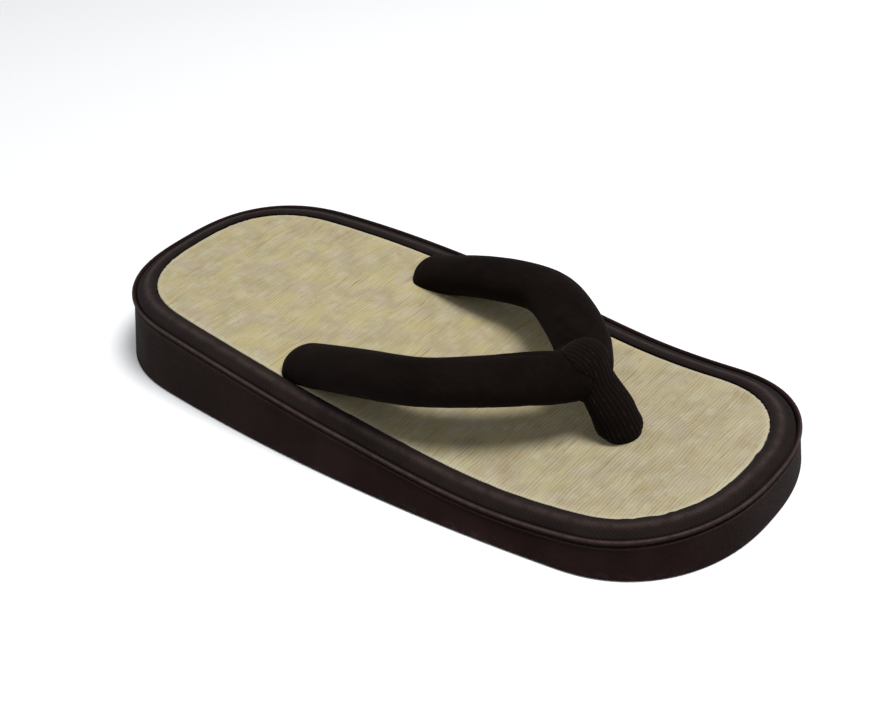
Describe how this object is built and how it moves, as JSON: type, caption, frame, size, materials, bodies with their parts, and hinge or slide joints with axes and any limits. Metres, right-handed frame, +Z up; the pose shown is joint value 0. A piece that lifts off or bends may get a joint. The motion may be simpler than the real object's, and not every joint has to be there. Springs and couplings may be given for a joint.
{
  "type": "zori sandal",
  "caption": "Straw-covered sandal on a low dark wedge sole with a cloth-bound edge, a padded V-shaped strap and a front loop between the toes.",
  "frame": {"origin": "centre of the bounding box on the ground under the sole", "axes": "X from heel to toe, Y to the wearer's left, Z up"},
  "size_m": [0.2647, 0.1162, 0.0423],
  "materials": {
    "sole_rubber": "matt, finely grained foam rubber",
    "woven_straw": "dry woven straw, strands across the foot",
    "binding_cloth": "matt woven cloth folded over the edge",
    "strap_velvet": "short-pile velvet over soft stuffing",
    "loop_cloth": "ribbed cloth wound round a soft core"
  },
  "bodies": {
    "root": {"sole": "sole_rubber", "straw_mat": "woven_straw", "binding": "binding_cloth", "upper": "strap_velvet", "front_loop": "loop_cloth"}
  },
  "joints": []
}
